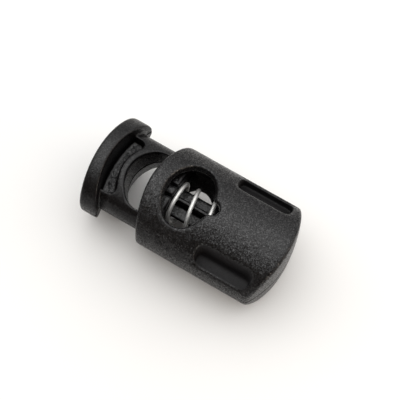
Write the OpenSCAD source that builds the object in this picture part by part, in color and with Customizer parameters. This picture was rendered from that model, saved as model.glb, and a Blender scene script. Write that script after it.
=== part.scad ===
// Spring cord lock: an oval barrel, a plunger that is pushed into its open end, and the compression
// spring that drives the plunger out again. The cord runs through the oval hole of the barrel and
// the eye of the plunger, and is pinched between them when the plunger is let go.
// X runs from the push head to the closed end and Z is the thickness. The lock lies on its broad face.

/* [Barrel] */
// Width across the oval section
barrel_w = 16; // [15:0.1:18]
// Thickness across the oval section
barrel_t = 13; // [12.4:0.1:14.4]
// Length along the axis, over the crowns of the rim and of the closed end
barrel_l = 22.1; // [21.5:0.1:28]
// Radius of the narrow sides of the oval section
barrel_side_r = 5.6; // [5:0.1:6]
// Wall round the plunger's bore
wall = 1.4; // [1.2:0.1:1.6]
// Wall of the closed end
end_wall = 1.7; // [1.4:0.1:2.2]
// How far the open rim bows out, seen from above
rim_bow = 1.9; // [1:0.1:2.4]
// How far the closed end bows out, seen from above
end_bow = 2.3; // [1.2:0.1:3]
// How far the closed end bows out, seen from the side
end_crown = 0.5; // [0.2:0.1:1]
// Radius of the barrel's corners, seen from above
barrel_corner_r = 0.8; // [0.5:0.1:1.2]

/* [Cord hole] */
// Distance from the crown of the rim to the middle of the cord hole
rim_to_hole = 6; // [5.6:0.1:7]
// Length of the hole along the axis, at the surface
hole_l = 7.4; // [6.4:0.1:7.8]
// Width of the hole across the axis, at the surface
hole_w = 9.8; // [8.8:0.1:10.4]
// Radius of the two ends of the hole's oval
hole_end_r = 2.9; // [2.4:0.1:3.1]
// How much the hole narrows all round on its way through the wall
hole_flare = 0.44; // [0.2:0.02:0.6]
// Radius of the keyhole notch on the closed-end side of the hole
notch_r = 1.05; // [0.8:0.05:1.3]

/* [Side recesses] */
// Length of each recess
recess_l = 8.4; // [6:0.1:8.8]
// Width of each recess, seen from above
recess_w = 2.3; // [1.8:0.1:2.4]
// Radius of the corners of each recess
recess_corner_r = 0.8; // [0.4:0.05:0.85]
// Distance from the middle of the cord hole to the recess
hole_to_recess = 4.75; // [4.7:0.05:5.2]
// Land between the recess and the barrel's side, seen from above
recess_land = 0.9; // [0.8:0.05:1.2]
// Web left between the floors of two opposite recesses
recess_web = 1.4; // [1.2:0.1:4]

/* [Plunger head] */
// Gap between the head and the barrel's rim when the plunger is out
head_gap = 6.55; // [6.4:0.05:8]
// Thickness of the head at its middle
head_l = 2.35; // [2:0.05:3.5]
// How far the head's section stays inside the barrel's
head_inset = 0.2; // [0:0.05:0.4]
// How far the push face bows out, seen from above
head_bow = 1.3; // [0.8:0.1:2]
// How far the push face bows out, seen from the side
head_crown = 0.4; // [0.2:0.1:0.8]
// How far the underside of the head is hollowed, seen from above
underside_bow = 1.9; // [1.2:0.1:2.4]
// Radius of the head's outer corners, seen from above
head_corner_r = 1.1; // [0.6:0.1:1.4]

/* [Plunger stem] */
// Travel that brings the eye in line with the cord hole
stroke = 6; // [5.5:0.1:6.2]
// Clearance between stem and bore at the narrow sides
side_clearance = 0.2; // [0.15:0.05:0.3]
// Clearance between stem and bore at the broad faces
face_clearance = 0.9; // [0.6:0.05:1]
// Radius of the narrow sides of the stem's section
stem_side_r = 3.4; // [3:0.1:3.6]
// Length of the eye's full oval along the axis, at mid thickness
eye_l = 6.6; // [6:0.1:7]
// Width of the eye across the axis, at mid thickness
eye_w = 8.7; // [8:0.1:9.2]
// Radius of the two ends of the eye's oval
eye_end_r = 2.6; // [2.3:0.1:2.8]
// Draft of the eye towards both faces, in degrees
eye_draft = 6; // [1:0.5:7]
// Distance from the middle of the eye to the clamping face of the cross bar
eye_to_bar = 2.05; // [1.6:0.05:2.3]
// Thickness of the cross bar that pinches the cord
bar_l = 1.7; // [1.3:0.1:2]
// Distance of the two slits in the bar from the middle
slit_y = 0.83; // [0.6:0.01:1.2]
// Width of the slits
slit_w = 0.3; // [0.25:0.05:0.5]
// Depth of the slits
slit_depth = 1; // [0.5:0.1:1.4]

/* [Pocket under the head] */
// Width of the pocket across the axis
pocket_w = 9.2; // [8:0.1:9.6]
// Land between the pocket and the eye
pocket_land = 1.1; // [0.9:0.05:1.4]
// Web left between the floors of the two pockets
pocket_web = 2.2; // [1.6:0.1:4]
// Radius of the pocket's corners
pocket_corner_r = 0.9; // [0.5:0.1:1.2]

/* [Snap lugs] */
// Length of each lug along the axis
lug_l = 1; // [0.8:0.1:1.2]
// How far each lug stands out from the stem
lug_h = 0.5; // [0.4:0.05:0.6]
// Width of each lug across the thickness
lug_w = 2.8; // [2:0.1:3.2]
// Clearance of the lug in its groove
lug_clearance = 0.15; // [0.1:0.05:0.2]

/* [Spring and post] */
// Wire of the spring
wire_d = 0.62; // [0.5:0.02:0.7]
// Diameter of the spring at the middle of the wire
spring_d = 6.06; // [5.8:0.02:6.2]
// Turns that rise along the spring
open_turns = 5.4; // [4.4:0.1:6]
// Share of a turn that lies flat on the seat at each end
seat_turns = 0.55; // [0.4:0.05:0.6]
// Clearance round the spring and at the end of the plunger's stroke
spring_clearance = 0.3; // [0.2:0.05:0.4]
// Gap between the wire and its seat at each end
seat_gap = 0.03; // [0.02:0.01:0.06]
// Diameter of the cross-shaped post inside the spring
post_d = 4.5; // [3.4:0.1:4.8]
// Length of the post's pointed tip
post_tip_l = 1; // [0.6:0.1:1.6]
// Diameter of the post at the end of its tip
post_tip_d = 2.2; // [1.2:0.1:3]
// Thickness of the post's four ribs
rib_t = 0.75; // [0.6:0.05:1]
// Length of the post
post_l = 8; // [5:0.1:8.4]

/* [Hidden] */
$fn = 96;

// Cutters run this far past the faces that they cut
past = 1;
// Corner arcs cross the faces that they round instead of only touching them
corner_bite = 0.1;
pocket_corner_bite = 0.01;
plastic_black = [0.11, 0.11, 0.12];
spring_steel = [0.78, 0.79, 0.80];

// Places along the axis, counted from the middle of the barrel's cord hole
rim_x = -rim_to_hole;
end_x = rim_x + barrel_l;
seat_x = end_x - end_wall;
underside_x = rim_x - head_gap;
head_x = underside_x - head_l;
eye_x = -stroke;
bar_x = eye_x + eye_to_bar;
stem_end_x = bar_x + bar_l;
shoulder_x = stem_end_x + stroke + spring_clearance;

// Sections
bore_w = barrel_w - 2 * wall;
bore_t = barrel_t - 2 * wall;
bore_side_r = barrel_side_r - wall;
head_w = barrel_w - 2 * head_inset;
head_t = barrel_t - 2 * head_inset;
stem_w = bore_w - 2 * side_clearance;
stem_t = bore_t - 2 * face_clearance;
spring_bore_d = spring_d + wire_d + 2 * spring_clearance;
recess_y = barrel_w / 2 - recess_land - recess_w / 2;

// Spring: one wire that lies flat on its seat at each end and rises evenly between them
spring_sides = 6;
rings_per_turn = 16;
spring_turns = open_turns + 2 * seat_turns;
spring_rings = round(spring_turns * rings_per_turn);
wire_start_x = stem_end_x + wire_d / 2 + seat_gap;
wire_end_x = seat_x - wire_d / 2 - seat_gap;
open_lead = (wire_end_x - wire_start_x) / open_turns;
// Where the wire leaves its seat on the plunger, counted from +Y over the upper face
wire_rise_angle = 145;

// The lock lies on the floor plane, with the middle of its length over the origin
module lay_down() {
    translate([-(head_x + end_x) / 2, 0, barrel_t / 2]) children();
}

// Radius of an arc that rises by bow over a chord
function bow_r(chord, bow) = (chord * chord / 4 + bow * bow) / (2 * bow);

// An oval of four arcs: side_r at its two ends, and two flatter arcs between them
function flat_offset(w, t, side_r) = (pow(w / 2 - side_r, 2) - pow(t / 2 - side_r, 2)) / (t - 2 * side_r);
function flat_r(w, t, side_r) = t / 2 + flat_offset(w, t, side_r);

// The sectors that the two flatter arcs fill, out to twice the oval's height
module flat_sectors(w, t, side_r) {
    end_x = w / 2 - side_r;
    far_x = end_x * (1 + t / flat_offset(w, t, side_r));
    polygon([[end_x, 0], [far_x, t], [-far_x, t], [-end_x, 0], [-far_x, -t], [far_x, -t]]);
}

module oval(w, t, side_r) {
    intersection() {
        translate([0, -flat_offset(w, t, side_r)]) circle(flat_r(w, t, side_r));
        translate([0, flat_offset(w, t, side_r)]) circle(flat_r(w, t, side_r));
        flat_sectors(w, t, side_r);
    }
    for (s = [-1, 1]) translate([s * (w / 2 - side_r), 0]) circle(side_r);
}

// A rod of oval section along X
module oval_rod(w, t, side_r, from_x, to_x) {
    translate([from_x, 0, 0]) rotate([90, 0, 90]) linear_extrude(to_x - from_x) oval(w, t, side_r);
}

// An oval across Y that widens upwards from z = 0 by grow for each millimetre of height
module drafted_oval(w, t, side_r, height, grow) {
    wide = flat_r(w, t, side_r);
    out = grow * height;
    rotate(90) {
        intersection() {
            translate([0, -flat_offset(w, t, side_r), 0]) cylinder(h = height, r1 = wide, r2 = wide + out);
            translate([0, flat_offset(w, t, side_r), 0]) cylinder(h = height, r1 = wide, r2 = wide + out);
            linear_extrude(height) flat_sectors(w, t, side_r);
        }
        for (s = [-1, 1])
            translate([s * (w / 2 - side_r), 0, 0]) cylinder(h = height, r1 = side_r, r2 = side_r + out);
    }
}

// A disc whose edge crosses the axis at x, seen from above; it lies on the +X side of x
module bowed_disc(x, chord, bow) {
    translate([x + bow_r(chord, bow), 0]) circle(bow_r(chord, bow));
}

// What is cut off the two sharp corners between a bowed edge and the sides, to leave radius r
module corner_waste(x, chord, bow, r) {
    arc_r = bow_r(chord, bow);
    arc_x = x + arc_r;
    side_y = chord / 2;
    mid_y = side_y - r + corner_bite;
    reach = arc_r - r + corner_bite;
    mid_x = arc_x - sqrt(reach * reach - mid_y * mid_y);
    arc_point = [arc_x, 0] + (arc_r + past) / reach * [mid_x - arc_x, mid_y];
    for (side = [0, 1]) mirror([0, side]) difference() {
        polygon([[mid_x, mid_y], [mid_x, side_y + past], [x, side_y + past], arc_point]);
        translate([mid_x, mid_y]) circle(r);
    }
}

// An upright prism of a shape seen from above
module upright(height) {
    linear_extrude(height, center = true) children();
}

// Repeats a feature of the upper face on the lower one
module both_faces() {
    for (side = [0, 1]) mirror([0, 0, side]) children();
}

// A disc like bowed_disc, whose edge also bows out by crown over a thickness t, seen from the side
module crowned_disc(x, chord, bow, t, crown) {
    disc_r = bow_r(chord, bow);
    crown_r = bow_r(t, crown);
    translate([x + disc_r, 0, 0]) rotate_extrude() intersection() {
        translate([disc_r - crown_r, 0]) circle(crown_r);
        translate([0, -t]) square([disc_r + past, 2 * t]);
    }
}

module barrel_outside() {
    difference() {
        intersection() {
            oval_rod(barrel_w, barrel_t, barrel_side_r, rim_x - past, end_x + past);
            upright(2 * barrel_t) bowed_disc(rim_x, barrel_w, rim_bow);
            mirror([1, 0, 0]) crowned_disc(-end_x, barrel_w, end_bow, barrel_t, end_crown);
        }
        upright(2 * barrel_t) corner_waste(rim_x, barrel_w, rim_bow, barrel_corner_r);
        upright(2 * barrel_t) mirror([1, 0]) corner_waste(-end_x, barrel_w, end_bow, barrel_corner_r);
    }
}

// Oval bore for the stem, side grooves for the lugs, and a round bore for the spring
module barrel_inside() {
    oval_rod(bore_w, bore_t, bore_side_r, rim_x - past, shoulder_x);
    translate([shoulder_x - past, 0, 0]) rotate([0, 90, 0])
        cylinder(h = seat_x - shoulder_x + past, d = spring_bore_d);
    groove_x = stem_end_x - lug_l - lug_clearance;
    groove_w = stem_w + 2 * lug_h + 2 * lug_clearance;
    groove_t = lug_w + 2 * lug_clearance;
    translate([groove_x, -groove_w / 2, -groove_t / 2]) cube([shoulder_x - groove_x, groove_w, groove_t]);
}

// Oval cord hole, flared towards the surface, with its keyhole notch
module cord_hole() {
    grow = hole_flare / wall;
    crown_z = barrel_t / 2;
    foot_z = spring_bore_d / 2 - spring_clearance;
    narrowing = grow * (crown_z - foot_z);
    edge_z = crown_z * sqrt(1 - pow(hole_w / barrel_w, 2));
    crown_w = hole_w + 2 * grow * (crown_z - edge_z);
    translate([0, 0, foot_z])
        drafted_oval(crown_w - 2 * narrowing, hole_l - 2 * narrowing, hole_end_r - narrowing,
            crown_z - foot_z + past, grow);
    translate([hole_l / 2, 0, foot_z]) cylinder(h = crown_z, r = notch_r);
}

// Long recess with round corners beside the spring's bore, on both sides of the axis
module side_recesses() {
    mid_x = hole_to_recess + recess_l / 2;
    corner_x = recess_l / 2 - recess_corner_r;
    corner_y = recess_w / 2 - recess_corner_r;
    for (side = [-1, 1]) translate([mid_x, side * recess_y, recess_web / 2]) linear_extrude(barrel_t) {
        square([recess_l, 2 * corner_y], center = true);
        square([2 * corner_x, recess_w], center = true);
        for (x = [-corner_x, corner_x], y = [-corner_y, corner_y]) translate([x, y]) circle(recess_corner_r);
    }
}

module barrel() {
    color(plastic_black) lay_down() difference() {
        barrel_outside();
        barrel_inside();
        both_faces() cord_hole();
        both_faces() side_recesses();
    }
}

// Oval cap with a bowed push face, and a hollowed underside whose ends hook towards the barrel
module head() {
    difference() {
        intersection() {
            oval_rod(head_w, head_t, barrel_side_r - head_inset, head_x - past, rim_x);
            crowned_disc(head_x, head_w, head_bow, head_t, head_crown);
        }
        upright(2 * head_t) bowed_disc(underside_x, head_w, underside_bow);
        upright(2 * head_t) corner_waste(head_x, head_w, head_bow, head_corner_r);
    }
}

// Eye for the cord, drafted from mid thickness to both faces, with a flat clamping face
module eye() {
    intersection() {
        both_faces() translate([eye_x, 0, 0]) drafted_oval(eye_w, eye_l, eye_end_r, stem_t, tan(eye_draft));
        translate([eye_x - eye_w, -eye_w, -stem_t]) cube([eye_w + eye_to_bar, 2 * eye_w, 2 * stem_t]);
    }
}

// Pocket between the head and the land round the eye, seen from above
module pocket_outline() {
    grown = tan(eye_draft) * stem_t + 2 * pocket_land;
    land_l = eye_l + grown;
    land_w = eye_w + grown;
    land_end_r = eye_end_r + grown / 2;
    land_offset = flat_offset(land_w, land_l, land_end_r);
    land_r = flat_r(land_w, land_l, land_end_r);
    side_y = pocket_w / 2;
    mid_y = side_y - pocket_corner_r;
    reach = land_r + pocket_corner_r;
    arc_x = eye_x + land_offset;
    mid_x = arc_x - sqrt(reach * reach - mid_y * mid_y);
    arc_point = [arc_x, 0] + (land_r - pocket_corner_r) / reach * [mid_x - arc_x, mid_y];
    difference() {
        intersection() {
            bowed_disc(underside_x, head_w, underside_bow);
            translate([underside_x - past, -side_y]) square([eye_x - underside_x, pocket_w]);
        }
        translate([eye_x, 0]) rotate(90) oval(land_w, land_l, land_end_r);
        for (side = [0, 1]) mirror([0, side]) difference() {
            polygon([[mid_x, mid_y], [mid_x, side_y + past], [eye_x, side_y + past], arc_point]);
            translate([mid_x, mid_y]) circle(pocket_corner_r + pocket_corner_bite);
        }
    }
}

// Snap lugs that hold the plunger in the barrel, with a ramp on the leading side
module lugs() {
    root_y = stem_w / 2 - wall;
    tip_y = stem_w / 2 + lug_h;
    crest_x = stem_end_x - lug_l / 2;
    for (side = [0, 1]) mirror([0, side, 0]) linear_extrude(lug_w, center = true)
        polygon([[stem_end_x - lug_l, root_y], [stem_end_x - lug_l, tip_y],
            [crest_x, tip_y], [stem_end_x, stem_w / 2 - lug_h], [stem_end_x, root_y]]);
}

// Cross-shaped post with a pointed tip, on which the spring sits
module post() {
    root_x = bar_x + bar_l / 2;
    straight_l = stem_end_x + post_l - post_tip_l - root_x;
    intersection() {
        translate([root_x, 0, 0]) rotate([0, 90, 0]) union() {
            cylinder(h = straight_l, d = post_d);
            translate([0, 0, straight_l]) cylinder(h = post_tip_l, d1 = post_d, d2 = post_tip_d);
        }
        union() {
            translate([bar_x, -post_d, -rib_t / 2]) cube([bar_l + post_l + past, 2 * post_d, rib_t]);
            translate([bar_x, -rib_t / 2, -post_d]) cube([bar_l + post_l + past, rib_t, 2 * post_d]);
        }
    }
}

module slits() {
    for (y = [-slit_y, slit_y])
        translate([bar_x - past, y - slit_w / 2, stem_t / 2 - slit_depth])
            cube([bar_l + 2 * past, slit_w, slit_depth + past]);
}

module plunger() {
    color(plastic_black) lay_down() {
        head();
        difference() {
            oval_rod(stem_w, stem_t, stem_side_r, underside_x - head_l / 2, stem_end_x);
            eye();
            both_faces() translate([0, 0, pocket_web / 2]) linear_extrude(barrel_t) pocket_outline();
            both_faces() slits();
        }
        lugs();
        post();
    }
}

// Middle of the wire after a number of turns
function wire_x(turn) = wire_start_x + open_lead * min(max(turn - seat_turns, 0), open_turns);
function wire_angle(turn) = wire_rise_angle + 360 * (turn - seat_turns);
function wire_mid(turn) =
    [wire_x(turn), spring_d / 2 * cos(wire_angle(turn)), spring_d / 2 * sin(wire_angle(turn))];

// One point on the wire's skin, in the plane through the spring's axis
function wire_skin(turn, side) =
    let (around = 360 * side / spring_sides, radius = spring_d / 2 + wire_d / 2 * cos(around))
    [wire_x(turn) + wire_d / 2 * sin(around), radius * cos(wire_angle(turn)), radius * sin(wire_angle(turn))];

wire_turns = [for (ring = [0:spring_rings]) ring * spring_turns / spring_rings];
wire_gap = min([for (a = wire_turns, b = wire_turns) if (b > a + 0.5) norm(wire_mid(b) - wire_mid(a))]) - wire_d;
echo(str("Least gap between the spring's turns: ", wire_gap, " mm"));

module spring() {
    skin = [for (turn = wire_turns, side = [0:spring_sides - 1]) wire_skin(turn, side)];
    last = spring_rings * spring_sides;
    walls = [for (ring = [0:spring_rings - 1], side = [0:spring_sides - 1])
        let (a = ring * spring_sides, next = (side + 1) % spring_sides)
        each [[a + side, a + next, a + spring_sides + side],
            [a + next, a + spring_sides + next, a + spring_sides + side]]];
    caps = [for (side = [1:spring_sides - 2])
        each [[0, side + 1, side], [last, last + side, last + side + 1]]];
    color(spring_steel) lay_down() polyhedron(points = skin, faces = concat(walls, caps));
}

barrel();
plunger();
spring();
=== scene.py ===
import math

import bmesh
import bpy
from mathutils import Matrix, Vector


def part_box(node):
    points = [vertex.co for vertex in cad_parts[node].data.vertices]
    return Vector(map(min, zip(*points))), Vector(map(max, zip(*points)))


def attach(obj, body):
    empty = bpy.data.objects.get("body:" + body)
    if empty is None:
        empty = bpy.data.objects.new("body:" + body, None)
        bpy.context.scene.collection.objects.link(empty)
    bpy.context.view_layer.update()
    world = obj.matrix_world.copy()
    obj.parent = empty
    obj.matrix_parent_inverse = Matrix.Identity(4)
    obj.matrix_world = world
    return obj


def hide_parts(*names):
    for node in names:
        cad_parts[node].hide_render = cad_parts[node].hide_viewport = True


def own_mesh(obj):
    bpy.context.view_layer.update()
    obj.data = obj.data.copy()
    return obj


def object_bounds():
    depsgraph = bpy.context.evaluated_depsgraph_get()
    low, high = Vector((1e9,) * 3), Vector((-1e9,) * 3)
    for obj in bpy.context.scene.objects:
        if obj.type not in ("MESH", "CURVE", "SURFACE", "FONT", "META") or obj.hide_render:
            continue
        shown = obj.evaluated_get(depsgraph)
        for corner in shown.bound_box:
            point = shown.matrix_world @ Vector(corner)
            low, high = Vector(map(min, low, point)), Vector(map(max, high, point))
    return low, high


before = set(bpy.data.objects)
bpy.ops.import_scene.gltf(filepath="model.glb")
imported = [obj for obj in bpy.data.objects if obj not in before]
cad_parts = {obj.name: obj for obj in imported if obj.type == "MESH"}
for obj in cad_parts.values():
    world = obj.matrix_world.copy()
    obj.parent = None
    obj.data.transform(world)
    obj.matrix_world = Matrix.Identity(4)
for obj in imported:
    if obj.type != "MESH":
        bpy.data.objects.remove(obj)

cad_low, cad_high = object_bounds()

# Barrel: the oval sleeve that the cord runs through, injection moulded in black acetal.
# The mould was spark eroded, so its faces carry a fine matt grain. The two halves of the mould
# met at mid thickness, where a hairline runs along the sides and over the closed end.
MM = 0.001
BARREL_MESH_STEP = 0.07 * MM
BARREL_EDGE_PASSES = 7
SOFT_PASSES = 240
PASS_STRENGTH = 0.5
MOST_TRIANGLES = 190_000
barrel_low, barrel_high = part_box("barrel")
mid_z = (barrel_low.z + barrel_high.z) / 2

# The open rim and the closed end bow across the width, and the end is nearly flat from top to bottom
RIM_BOW = 1.9 * MM
END_BOW = 2.3 * MM
END_ROUNDING = 1.3 * MM
END_SOFTNESS = 0.10
END_FLATTENING = 0.25 * MM
END_REACH = 4.0 * MM

# Two recesses on the upper face and two on the lower, measured from the middle planes. Each is cut
# into the rounded side, with a sloping floor and a thin lip along its outer edge.
RECESS_FROM_X = 4.05 * MM
RECESS_TO_X = 12.65 * MM
RECESS_FROM_Y = 4.7 * MM
RECESS_TO_Y = 7.2 * MM
RECESS_MID_Y = 6.4 * MM
RECESS_EDGE_Z = 2.7 * MM
RECESS_SLOPE = 0.92
RECESS_FLOOR = 0.7 * MM
RECESS_DEPTH = 4.3 * MM
RECESS_LIFT = 0.75 * MM
RECESS_DRAFT = 0.4 * MM
RECESS_FOOT = 2.8 * MM
RECESS_SOFTNESS = 1.2
LIP_FROM_Y = 7.1 * MM
LIP_Z = 2.35 * MM


def placed(name, data):
    """A new object in the scene."""
    thing = bpy.data.objects.new(name, data)
    bpy.context.scene.collection.objects.link(thing)
    return thing


def baked(piece):
    """Turns a piece's modifiers into its mesh."""
    depsgraph = bpy.context.evaluated_depsgraph_get()
    mesh = bpy.data.meshes.new_from_object(piece.evaluated_get(depsgraph))
    piece.modifiers.clear()
    piece.data = mesh
    return mesh


def moulded(name, node, step, passes, softness, form=None):
    """A copy of a solid as it leaves the mould, still without its material.

    Softness says where its edges are rounded most, and form moves each place of its surface.
    """
    piece = placed(name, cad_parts[node].data.copy())
    fine = piece.modifiers.new("fine_mesh", "REMESH")
    fine.mode = "VOXEL"
    fine.voxel_size = step
    soft = piece.vertex_groups.new(name="soft_edges")
    for vertex in baked(piece).vertices:
        weight = softness(vertex.co)
        if form:
            vertex.co = form(vertex.co)
        if weight > 0:
            soft.add([vertex.index], min(weight, 1), "REPLACE")
    rounding = piece.modifiers.new("rounded_edges", "SMOOTH")
    rounding.factor = PASS_STRENGTH
    rounding.iterations = passes
    more = piece.modifiers.new("soft_edges", "SMOOTH")
    more.factor = PASS_STRENGTH
    more.iterations = SOFT_PASSES
    more.vertex_group = soft.name
    piece.modifiers.new("triangles", "TRIANGULATE").quad_method = "SHORTEST_DIAGONAL"
    triangles = len(baked(piece).polygons)
    piece.modifiers.new("thinning", "DECIMATE").ratio = min(1, MOST_TRIANGLES / triangles)
    mesh = baked(piece)
    mesh.materials.clear()
    mesh.shade_smooth()
    return piece


def from_closed_end(place):
    """How far a place lies from the bowed outline of the closed end."""
    return barrel_high.x - END_BOW * (place.y / barrel_high.y) ** 2 - place.x


def in_recess(place):
    """Whether a place of the barrel lies in one of its recesses, under the rounded outside."""
    if not RECESS_FROM_X < place.x < RECESS_TO_X:
        return False
    across = abs(place.y)
    outside_z = RECESS_EDGE_Z + RECESS_SLOPE * (RECESS_TO_Y - across)
    return RECESS_FROM_Y < across < RECESS_TO_Y and abs(place.z - mid_z) < outside_z


def barrel_form(place):
    """Where a place of the barrel's solid lies on the moulding.

    The closed end's crown is flatter, the recesses' floors and inner walls slope, and their lips
    are blunt.
    """
    nearness = max(0, 1 - max(0, from_closed_end(place)) / END_REACH)
    outward = END_FLATTENING * nearness * ((place.z - mid_z) / (barrel_high.z - mid_z)) ** 2
    across = abs(place.y)
    over_mid = abs(place.z - mid_z)
    if in_recess(place):
        inward = (RECESS_TO_Y - across) / (RECESS_TO_Y - RECESS_FROM_Y)
        share = inward * min(1, max(0, 1 - (over_mid - RECESS_FLOOR) / RECESS_DEPTH))
        across += RECESS_DRAFT * share
        over_mid += RECESS_LIFT * share
    if across > LIP_FROM_Y and RECESS_FROM_X < place.x < RECESS_TO_X:
        over_mid = min(over_mid, LIP_Z)
    return Vector((
        place.x + outward,
        math.copysign(across, place.y),
        mid_z + math.copysign(over_mid, place.z - mid_z),
    ))


def barrel_softness(place):
    """Rounds the edges of the barrel's two ends and the feet of its recesses more than the rest."""
    from_rim = place.x - barrel_low.x - RIM_BOW * (place.y / barrel_high.y) ** 2
    ends = END_SOFTNESS * (1 - min(from_rim, from_closed_end(place)) / END_ROUNDING)
    over_floor = abs(place.z - mid_z) - RECESS_FLOOR
    at_inner_wall = in_recess(place) and abs(place.y) < RECESS_MID_Y
    feet = RECESS_SOFTNESS * (1 - over_floor / RECESS_FOOT) if at_inner_wall else 0
    return max(ends, feet)


# Black acetal. The eroded pits of the mould break the shine up into fine sparks, and dull it where
# the surface is seen at a low angle. The grain is drawn about twice as coarse as the real one, so
# that it shows at this size. The hairline of the parting is drawn wider too, most of all over the
# closed end, where the halves of the mould leave a small step. Along it the shine is taken away,
# which paints the shade of that step as a dark line. The recesses were smoother in the mould, and
# show as an even satin; their greyer base colour is painted fill light that lifts their shade.
BLACK = "#0d0c0d"
RECESS_PAINTED_FILL_BLACK = "#242324"
ACETAL_IOR = 1.48
GRAIN = 0.12 * MM
SPARK_RARITY = 3
FLOW_MARKS = 2.5 * MM
FLOW_CHANGE = 0.04
DULLING_FROM = 0.03
DULLING_TO = 0.30
DULLED_SHINE = 0.36
PARTING_LINE = 0.07 * MM
END_PARTING_LINE = 0.20 * MM


def linear(hex_colour):
    """The linear colour of an sRGB hex value."""
    shares = [int(hex_colour[i:i + 2], 16) / 255 for i in (1, 3, 5)]
    return [s / 12.92 if s <= 0.04045 else ((s + 0.055) / 1.055) ** 2.4 for s in shares] + [1]


def empty_tree(owner):
    """The node tree of a material or a world, without its default nodes."""
    owner.use_nodes = True
    owner.node_tree.nodes.clear()
    return owner.node_tree


def add_node(tree, kind, settings=None, links=None):
    """Adds a shader node, sets its sockets or properties, and links its sockets.

    A socket is given by its name, or by its number where it shares its name with another.
    """
    node = tree.nodes.new(kind)
    for name, value in (settings or {}).items():
        if isinstance(name, int) or name in node.inputs:
            node.inputs[name].default_value = value
        else:
            setattr(node, name, value)
    for name, source in (links or {}).items():
        tree.links.new(source, node.inputs[name])
    return node


# The hairline is painted shade: where it runs, the shine is taken away so that the parting step shows
# as a dark line.
def off_parting_line(tree, place, normal):
    """A value that is 0 on the hairline at mid thickness, and 1 from twice its width on."""
    height = add_node(tree, "ShaderNodeSeparateXYZ", links={"Vector": place}).outputs["Z"]
    over_line = add_node(tree, "ShaderNodeMath", {"operation": "SUBTRACT", 1: mid_z}, {0: height})
    from_line = add_node(tree, "ShaderNodeMath", {"operation": "ABSOLUTE"}, {0: over_line.outputs[0]})
    end_on = add_node(tree, "ShaderNodeSeparateXYZ", links={"Vector": normal}).outputs["X"]
    line_width = add_node(
        tree, "ShaderNodeMapRange", {"To Min": PARTING_LINE, "To Max": END_PARTING_LINE},
        {"Value": end_on},
    )
    widths_away = add_node(
        tree, "ShaderNodeMath", {"operation": "DIVIDE"},
        {0: from_line.outputs[0], 1: line_width.outputs["Result"]},
    )
    off_line = add_node(
        tree, "ShaderNodeMapRange", {"From Min": 1, "From Max": 2},
        {"Value": widths_away.outputs[0]},
    )
    return off_line.outputs["Result"]


def black_acetal(name, colour, tilt, roughness, dullest, brightest):
    """Black acetal whose grain tilts it by up to a slope and shines between two levels."""
    material = bpy.data.materials.new(name)
    tree = empty_tree(material)
    place = add_node(tree, "ShaderNodeTexCoord").outputs["Object"]
    normal = add_node(tree, "ShaderNodeNewGeometry").outputs["Normal"]
    craters = add_node(tree, "ShaderNodeTexVoronoi", {"Scale": 1 / GRAIN}, {"Vector": place})
    flow = add_node(
        tree, "ShaderNodeTexNoise", {"Scale": 1 / FLOW_MARKS, "Detail": 1}, {"Vector": place},
    )
    gloss = add_node(
        tree, "ShaderNodeMapRange",
        {"To Min": roughness - FLOW_CHANGE, "To Max": roughness + FLOW_CHANGE},
        {"Value": flow.outputs["Fac"]},
    )
    slope = add_node(
        tree, "ShaderNodeVectorMath",
        {"operation": "MULTIPLY_ADD", 1: [2 * tilt] * 3, 2: [-tilt] * 3},
        {0: craters.outputs["Color"]},
    )
    tilted = add_node(
        tree, "ShaderNodeVectorMath", {"operation": "ADD"},
        {0: normal, 1: slope.outputs["Vector"]},
    )
    facets = add_node(
        tree, "ShaderNodeVectorMath", {"operation": "NORMALIZE"}, {0: tilted.outputs["Vector"]},
    )
    chance = add_node(
        tree, "ShaderNodeSeparateColor", links={"Color": craters.outputs["Color"]},
    )
    rarely = add_node(
        tree, "ShaderNodeMath", {"operation": "POWER", 1: SPARK_RARITY}, {0: chance.outputs["Red"]},
    )
    sparks = add_node(
        tree, "ShaderNodeMapRange", {"To Min": dullest, "To Max": brightest},
        {"Value": rarely.outputs[0]},
    )
    low_angle = add_node(tree, "ShaderNodeLayerWeight")
    dulled = add_node(
        tree, "ShaderNodeMapRange",
        {"From Min": DULLING_FROM, "From Max": DULLING_TO, "To Min": 1, "To Max": DULLED_SHINE},
        {"Value": low_angle.outputs["Facing"]},
    )
    shine = add_node(
        tree, "ShaderNodeMath", {"operation": "MULTIPLY"},
        {0: sparks.outputs["Result"], 1: dulled.outputs["Result"]},
    )
    # Taking the shine away along the hairline paints the shade of the parting step.
    shine_off_line = add_node(
        tree, "ShaderNodeMath", {"operation": "MULTIPLY"},
        {0: shine.outputs[0], 1: off_parting_line(tree, place, normal)},
    )
    plastic = add_node(
        tree, "ShaderNodeBsdfPrincipled",
        {"Base Color": linear(colour), "IOR": ACETAL_IOR},
        {
            "Roughness": gloss.outputs["Result"],
            "Specular IOR Level": shine_off_line.outputs[0],
            "Normal": facets.outputs["Vector"],
        },
    )
    add_node(tree, "ShaderNodeOutputMaterial", links={"Surface": plastic.outputs["BSDF"]})
    return material


barrel = moulded(
    "barrel_moulding", "barrel", BARREL_MESH_STEP, BARREL_EDGE_PASSES, barrel_softness, barrel_form,
)
barrel.data.materials.append(black_acetal(
    "spark_eroded_acetal", BLACK, tilt=0.25, roughness=0.29, dullest=0.36, brightest=1.25,
))
# The recesses get a greyer copy of the acetal: its lighter base colour is painted fill light that
# lifts their shade, while its smoother grain is real.
barrel.data.materials.append(black_acetal(
    "satin_acetal_painted_fill", RECESS_PAINTED_FILL_BLACK, tilt=0.05, roughness=0.56, dullest=0.38, brightest=0.48,
))
# Faces in the recesses take the copy with the painted fill light.
for face in barrel.data.polygons:
    if in_recess(face.center):
        face.material_index = 1
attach(barrel, "barrel")
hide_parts("barrel")

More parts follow.
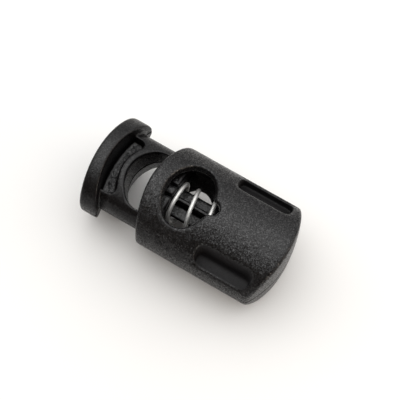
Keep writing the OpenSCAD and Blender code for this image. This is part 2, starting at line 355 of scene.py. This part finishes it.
# Spring: a compression spring coiled from bright drawn steel wire, flat on its seat at each end.
# It stands between the plunger's cross bar and the closed end of the barrel, round the plunger's
# post. The solid's wire has six sides and lies on a flat at each end, where this one is round.
WIRE = 0.62 * MM
COIL_RADIUS = 3.03 * MM
OPEN_TURNS = 5.4
SEAT_TURNS = 0.55
WIRE_RISE = math.radians(145)
RINGS_PER_TURN = 48
WIRE_SIDES = 16
HEXAGON = math.cos(math.radians(30))
spring_low, spring_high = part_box("spring")
wire_from = spring_low.x + HEXAGON * WIRE / 2
wire_to = spring_high.x - HEXAGON * WIRE / 2
ring_count = round((OPEN_TURNS + 2 * SEAT_TURNS) * RINGS_PER_TURN)


def wire_middle(turn):
    """The wire's middle after a number of turns from where it leaves its seat on the plunger."""
    along = wire_from + (wire_to - wire_from) * min(max(turn / OPEN_TURNS, 0), 1)
    angle = WIRE_RISE + 2 * math.pi * turn
    return Vector((along, COIL_RADIUS * math.cos(angle), mid_z + COIL_RADIUS * math.sin(angle)))


coil = bmesh.new()
side_angles = [2 * math.pi * side / WIRE_SIDES for side in range(WIRE_SIDES)]
rings = []
for ring in range(ring_count + 1):
    middle = wire_middle(ring / RINGS_PER_TURN - SEAT_TURNS)
    outward = Vector((0, middle.y, middle.z - mid_z)).normalized()
    rings.append([
        coil.verts.new(middle + WIRE / 2 * (math.cos(a) * outward + math.sin(a) * Vector((1, 0, 0))))
        for a in side_angles
    ])
for ring, following in zip(rings, rings[1:]):
    for side in range(WIRE_SIDES):
        other = (side + 1) % WIRE_SIDES
        coil.faces.new((ring[side], ring[other], following[other], following[side]))
coil.faces.new(list(reversed(rings[0])))
coil.faces.new(rings[-1])
bmesh.ops.recalc_face_normals(coil, faces=coil.faces)
spring_mesh = bpy.data.meshes.new("spring_wire")
coil.to_mesh(spring_mesh)
coil.free()
spring_mesh.shade_smooth()
spring = placed("spring_wire", spring_mesh)

# Bright spring steel. Drawing leaves fine streaks along the wire, which only soften its shine.
STEEL = "#fbfaf7"
STEEL_SMOOTHEST = 0.58
STEEL_ROUGHEST = 0.68
DRAWING_MARKS = 0.4 * MM
steel = bpy.data.materials.new("drawn_spring_steel")
tree = empty_tree(steel)
place = add_node(tree, "ShaderNodeTexCoord").outputs["Object"]
marks = add_node(
    tree, "ShaderNodeTexNoise", {"Scale": 1 / DRAWING_MARKS, "Detail": 2}, {"Vector": place},
)
gloss = add_node(
    tree, "ShaderNodeMapRange", {"To Min": STEEL_SMOOTHEST, "To Max": STEEL_ROUGHEST},
    {"Value": marks.outputs["Fac"]},
)
metal = add_node(
    tree, "ShaderNodeBsdfPrincipled", {"Base Color": linear(STEEL), "Metallic": 1},
    {"Roughness": gloss.outputs["Result"]},
)
add_node(tree, "ShaderNodeOutputMaterial", links={"Surface": metal.outputs["BSDF"]})
spring_mesh.materials.append(steel)
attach(spring, "barrel")
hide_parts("spring")
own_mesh(spring)

# Plunger: the push button with its eye, cross bar and spring post, moulded in one piece from the
# same acetal. It snaps into the open end of the barrel, and its bar pinches the cord.
PLUNGER_MESH_STEP = 0.06 * MM
PLUNGER_EDGE_PASSES = 5
UNDERSIDE_BOW = 1.9 * MM
HEAD_THICKNESS = 2.35 * MM
HEAD_BOW = 1.3 * MM
HEAD_ROUNDING = 2.7 * MM
EYE_X = -6.6 * MM
LAND_L = 4.3 * MM
LAND_W = 5.4 * MM
POCKET_TO_Y = 4.75 * MM
POCKET_FLOOR = 1.1 * MM
POCKET_FOOT = 0.8 * MM
plunger_low, plunger_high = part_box("plunger")


def past_underside(place):
    """How far a place lies from the hollow underside of the head, towards the barrel."""
    bow = UNDERSIDE_BOW * (place.y / plunger_high.y) ** 2
    return place.x - plunger_low.x - HEAD_THICKNESS - bow


def in_pocket(place):
    """Whether a place lies in one of the two pockets between the head and the land round the eye."""
    off_land = ((place.x - EYE_X) / LAND_L) ** 2 + (place.y / LAND_W) ** 2 > 1
    between = past_underside(place) > -POCKET_FLOOR and place.x < EYE_X
    return between and off_land and abs(place.y) < POCKET_TO_Y


def plunger_softness(place):
    """Rounds the edge of the push face and the feet of the pockets more than the rest."""
    from_push_face = place.x - plunger_low.x - HEAD_BOW * (place.y / plunger_high.y) ** 2
    over_floor = abs(place.z - mid_z) - POCKET_FLOOR
    feet = 1 - over_floor / POCKET_FOOT if in_pocket(place) else 0
    return max(1 - from_push_face / HEAD_ROUNDING, feet)


plunger = moulded(
    "plunger_moulding", "plunger", PLUNGER_MESH_STEP, PLUNGER_EDGE_PASSES, plunger_softness,
)
plunger.data.materials.append(black_acetal(
    "fine_grained_acetal", BLACK, tilt=0.14, roughness=0.29, dullest=0.38, brightest=0.80,
))
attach(plunger, "plunger")
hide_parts("plunger")

# Floor: a sheet of white card that the lock lies on.
# It is uncoated, so it has no shine, and it reaches past the edges of the picture.
FLOOR_REACH = 3.0
CARD_WHITE = "#f8f7f5"
floor_mesh = bpy.data.meshes.new("floor")
corners = [
    (x * FLOOR_REACH, y * FLOOR_REACH, cad_low.z)
    for x, y in ((-1, -1), (1, -1), (1, 1), (-1, 1))
]
floor_mesh.from_pydata(corners, [], [(0, 1, 2, 3)])
floor = placed("floor", floor_mesh)
card = bpy.data.materials.new("white_card")
tree = empty_tree(card)
paper = add_node(tree, "ShaderNodeBsdfDiffuse", {"Color": linear(CARD_WHITE)})
add_node(tree, "ShaderNodeOutputMaterial", links={"Surface": paper.outputs[0]})
floor_mesh.materials.append(card)

# Studio: a dim room with a wide pale wall behind the lock that curves over it, one softbox
# overhead, and a low panel that lights the closed end.
ROOM_SHADE = "#40362c"
WALL_WHITE = "#ffffff"
WALL_MIDDLE = Vector((-0.40, 0.75, 0.53))
WALL_FADES_AT = -0.2
WALL_FULL_AT = 0.45
ROOM_STRENGTH = 1.38
OVERHEAD_PLACE = Vector((-0.06, 0.06, 0.40))
OVERHEAD_SIDE = 0.32
OVERHEAD_WATTS = 0.25
OVERHEAD_WHITE = "#ffffff"
PANEL_PLACE = Vector((0.50, 0, 0.10))
PANEL_WIDTH = 0.60
PANEL_HEIGHT = 0.20
PANEL_WATTS = 1.3
PANEL_WARM_WHITE = "#fff0e0"
world = bpy.data.worlds.new("studio")
bpy.context.scene.world = world
tree = empty_tree(world)
direction = add_node(tree, "ShaderNodeTexCoord").outputs["Generated"]
towards_wall = add_node(
    tree, "ShaderNodeVectorMath", {"operation": "DOT_PRODUCT", 1: WALL_MIDDLE}, {0: direction},
)
wall = add_node(
    tree, "ShaderNodeMapRange",
    {"interpolation_type": "SMOOTHSTEP", "From Min": WALL_FADES_AT, "From Max": WALL_FULL_AT},
    {"Value": towards_wall.outputs["Value"]},
)
shades = add_node(
    tree, "ShaderNodeMixRGB", {"Color1": linear(ROOM_SHADE), "Color2": linear(WALL_WHITE)},
    {"Fac": wall.outputs["Result"]},
)
room = add_node(
    tree, "ShaderNodeBackground", {"Strength": ROOM_STRENGTH}, {"Color": shades.outputs["Color"]},
)
add_node(tree, "ShaderNodeOutputWorld", links={"Surface": room.outputs["Background"]})


def softbox(name, place, width, height, watts, colour):
    """A rectangular area lamp at a place, turned to face the lock."""
    lamp = bpy.data.lights.new(name, "AREA")
    lamp.color = linear(colour)[:3]
    lamp.shape = "RECTANGLE"
    lamp.size = width
    lamp.size_y = height
    lamp.energy = watts
    box = placed(name, lamp)
    box.location = place
    box.rotation_euler = (Vector((0, 0, mid_z)) - place).to_track_quat("-Z", "Y").to_euler()


softbox(
    "overhead_softbox", OVERHEAD_PLACE, OVERHEAD_SIDE, OVERHEAD_SIDE, OVERHEAD_WATTS, OVERHEAD_WHITE,
)
softbox("right_panel", PANEL_PLACE, PANEL_WIDTH, PANEL_HEIGHT, PANEL_WATTS, PANEL_WARM_WHITE)

# Camera: a long lens close above the lock, at the angle of the photograph.
# It is turned round the lock, raised, rolled, and drawn back from the point that it aims at.
CAMERA_AIM = Vector((0.10, 2.02, 6.5)) * MM
CAMERA_DISTANCE = 153.6 * MM
CAMERA_TURN = math.radians(26.42)
CAMERA_ELEVATION = math.radians(70.79)
CAMERA_ROLL = math.radians(4.34)
CAMERA_SENSOR = 36.0
CAMERA_LENS = 96.0
CAMERA_NEAREST = 1 * MM
camera_data = bpy.data.cameras.new("camera")
camera_data.sensor_width = CAMERA_SENSOR
camera_data.lens = CAMERA_LENS
camera_data.clip_start = CAMERA_NEAREST
camera = placed("camera", camera_data)
facing = (
    Matrix.Rotation(CAMERA_TURN, 4, "Z")
    @ Matrix.Rotation(math.pi / 2 - CAMERA_ELEVATION, 4, "X")
    @ Matrix.Rotation(CAMERA_ROLL, 4, "Z")
)
drawn_back = Matrix.Translation((0, 0, CAMERA_DISTANCE))
camera.matrix_world = Matrix.Translation(CAMERA_AIM) @ facing @ drawn_back
bpy.context.scene.camera = camera
bpy.context.scene.view_settings.view_transform = "Standard"
